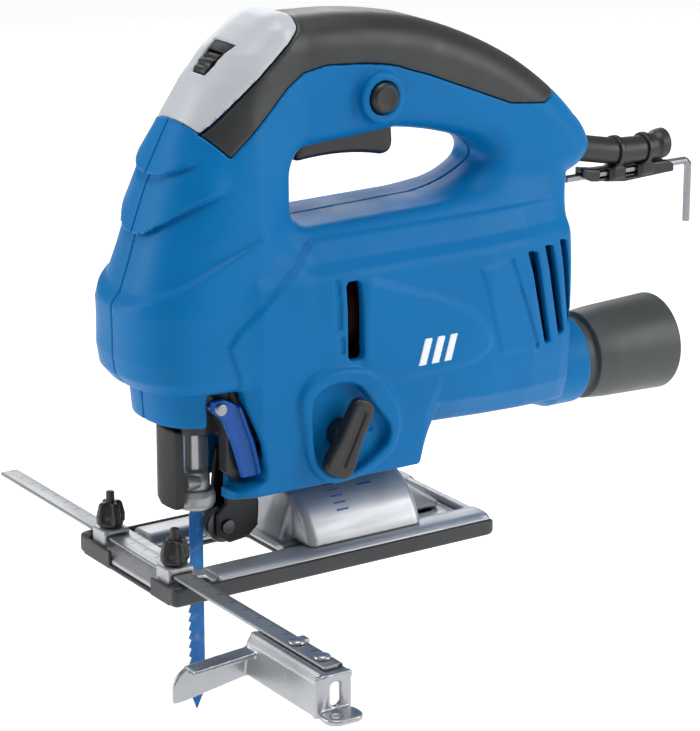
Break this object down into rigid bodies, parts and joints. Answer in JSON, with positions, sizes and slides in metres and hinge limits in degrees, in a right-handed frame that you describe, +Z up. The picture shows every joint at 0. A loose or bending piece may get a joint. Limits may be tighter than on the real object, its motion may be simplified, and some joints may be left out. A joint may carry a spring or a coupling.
{
  "type": "jigsaw power tool",
  "caption": "Handheld electric jigsaw with closed loop handle, tilting sole plate, side guide on a ruler bar, pendulum knob, blade, clear guard and rear dust adaptor.",
  "frame": {"origin": "underside of the shoe, in the blade plane, halfway along the shoe", "axes": "+Z up from the shoe, +X from the nose to the rear, -Y the left side with the knob"},
  "size_m": [0.3297, 0.2825, 0.2982],
  "materials": {
    "shoe_plastic": "moulded",
    "bright_steel": "satin",
    "screw_steel": "satin",
    "chrome_plate": "bright",
    "blue_plastic": "satin moulded",
    "grip_rubber": "textured",
    "grey_plastic": "satin moulded",
    "black_plastic": "moulded",
    "gear_casting": "black painted",
    "alloy_casting": "cast",
    "bronze": "sintered",
    "blade_paint": "painted",
    "lever_plastic": "moulded",
    "clear_plastic": "clear moulded plastic",
    "laminations": "stacked sheet",
    "copper": "enamelled copper",
    "carbon": "pressed carbon",
    "sleeve_rubber": "moulded"
  },
  "bodies": {
    "shoe": {"shoe_cover": "shoe_plastic", "sole_plate": "bright_steel", "bevel_bracket": "bright_steel"},
    "bevel_screw": {"bevel_clamp_screw": "screw_steel"},
    "fence": {"fence_bar": "bright_steel", "fence_plate": "chrome_plate", "fence_rivet_far": "chrome_plate", "fence_rivet_near": "chrome_plate"},
    "thumb_far": {"thumb_screw_far": "black_plastic"},
    "thumb_near": {"thumb_screw_near": "black_plastic"},
    "saw": {"housing_left": "blue_plastic", "housing_right": "blue_plastic", "soft_grip": "grip_rubber", "top_panel": "grey_plastic", "switch_module": "black_plastic", "gear_case": "gear_casting", "gear_cover": "alloy_casting", "gear_axle": "screw_steel", "plunger_bush_low": "bronze", "plunger_bush_top": "bronze", "bearing_front": "bright_steel", "bearing_rear": "bright_steel", "stator": "laminations", "field_coil_front": "copper", "field_coil_rear": "copper", "brush_left": "carbon", "brush_right": "carbon", "dust_duct": "black_plastic", "cable_sleeve": "sleeve_rubber", "hex_key_clip": "black_plastic", "housing_screw_1": "screw_steel", "housing_screw_2": "screw_steel", "housing_screw_3": "screw_steel", "housing_screw_4": "screw_steel", "housing_screw_5": "screw_steel"},
    "wheel": {"speed_wheel": "black_plastic"},
    "switch_trigger": {"trigger": "black_plastic"},
    "lock": {"lock_button": "black_plastic"},
    "knob": {"pendulum_knob": "black_plastic", "pendulum_shaft": "screw_steel"},
    "gear": {"drive_gear": "screw_steel"},
    "armature": {"armature_shaft": "screw_steel", "armature_core": "laminations", "commutator": "copper", "fan": "black_plastic"},
    "ram": {"plunger": "chrome_plate", "yoke": "screw_steel", "blade_clamp": "bright_steel"},
    "collar": {"clamp_collar": "bright_steel"},
    "saw_blade": {"blade": "blade_paint"},
    "lever": {"release_lever": "lever_plastic"},
    "guard": {"clear_guard": "clear_plastic"},
    "arm": {"roller_arm": "gear_casting", "roller_pin": "screw_steel"},
    "roller": {"guide_roller": "screw_steel"},
    "adaptor": {"dust_adaptor": "black_plastic"},
    "key": {"hex_key": "chrome_plate"}
  },
  "joints": [
    {"name": "bevel_tilt", "type": "hinge", "parent": "shoe", "child": "saw", "pos_m": [0, 0, 0], "axis": [1, 0, 0], "range_deg": [-45, 45]},
    {"name": "bevel_screw_turn", "type": "hinge", "parent": "shoe", "child": "bevel_screw", "pos_m": [0.018, 0, 0], "axis": [0, 0, 1], "range_deg": [0, 360]},
    {"name": "fence_slide", "type": "slide", "parent": "shoe", "child": "fence", "axis": [0, 1, 0], "range_m": [-0.08, 0.05]},
    {"name": "thumb_far_turn", "type": "hinge", "parent": "shoe", "child": "thumb_far", "pos_m": [-0.0715, 0.027, 0], "axis": [0, 0, 1], "range_deg": [-180, 180]},
    {"name": "thumb_near_turn", "type": "hinge", "parent": "shoe", "child": "thumb_near", "pos_m": [-0.0715, -0.027, 0], "axis": [0, 0, 1], "range_deg": [-180, 180]},
    {"name": "speed_turn", "type": "hinge", "parent": "saw", "child": "wheel", "pos_m": [-0.03, 0, 0.2045], "axis": [0, 1, 0], "range_deg": [-150, 150]},
    {"name": "trigger_press", "type": "slide", "parent": "saw", "child": "switch_trigger", "axis": [0, 0, 1], "range_m": [0, 0.0045], "stiffness_N_per_m": 600, "springref_m": -0.002},
    {"name": "lock_press", "type": "slide", "parent": "saw", "child": "lock", "axis": [0, 1, 0], "range_m": [0, 0.003], "stiffness_N_per_m": 300, "springref_m": -0.001},
    {"name": "pendulum_turn", "type": "hinge", "parent": "saw", "child": "knob", "pos_m": [0.004, 0, 0.0585], "axis": [0, 1, 0], "range_deg": [-30, 60]},
    {"name": "armature_spin", "type": "hinge", "parent": "saw", "child": "armature", "pos_m": [0, 0, 0.1054], "axis": [1, 0, 0], "continuous": true},
    {"name": "gear_spin", "type": "hinge", "parent": "saw", "child": "gear", "pos_m": [0, 0, 0.082], "axis": [1, 0, 0], "continuous": true},
    {"name": "plunger_stroke", "type": "slide", "parent": "saw", "child": "ram", "axis": [0, 0, 1], "range_m": [0, 0.018]},
    {"name": "collar_turn", "type": "hinge", "parent": "ram", "child": "collar", "pos_m": [-0.046, 0, 0], "axis": [0, 0, 1], "range_deg": [0, 30]},
    {"name": "blade_release", "type": "slide", "parent": "ram", "child": "saw_blade", "axis": [0, 0, 1], "range_m": [-0.02, 0]},
    {"name": "lever_swing", "type": "hinge", "parent": "saw", "child": "lever", "pos_m": [-0.05, 0, 0.0766], "axis": [0, 1, 0], "range_deg": [0, 25]},
    {"name": "guard_lift", "type": "slide", "parent": "saw", "child": "guard", "axis": [0, 0, 1], "range_m": [0, 0.014]},
    {"name": "arm_swing", "type": "hinge", "parent": "saw", "child": "arm", "pos_m": [-0.024, 0, 0.044], "axis": [0, 1, 0], "range_deg": [-4, 0]},
    {"name": "roller_spin", "type": "hinge", "parent": "arm", "child": "roller", "pos_m": [-0.0341, 0, 0.0165], "axis": [0, 1, 0], "continuous": true},
    {"name": "adaptor_pull", "type": "slide", "parent": "saw", "child": "adaptor", "axis": [1, 0, 0], "range_m": [0, 0.045]},
    {"name": "key_pull", "type": "slide", "parent": "saw", "child": "key", "axis": [1, 0, 0], "range_m": [0, 0.062]}
  ],
  "couplings": [
    {"joint": "gear_spin", "follows": "armature_spin", "ratio": -0.25},
    {"joint": "collar_turn", "follows": "lever_swing", "ratio": 1.2}
  ]
}
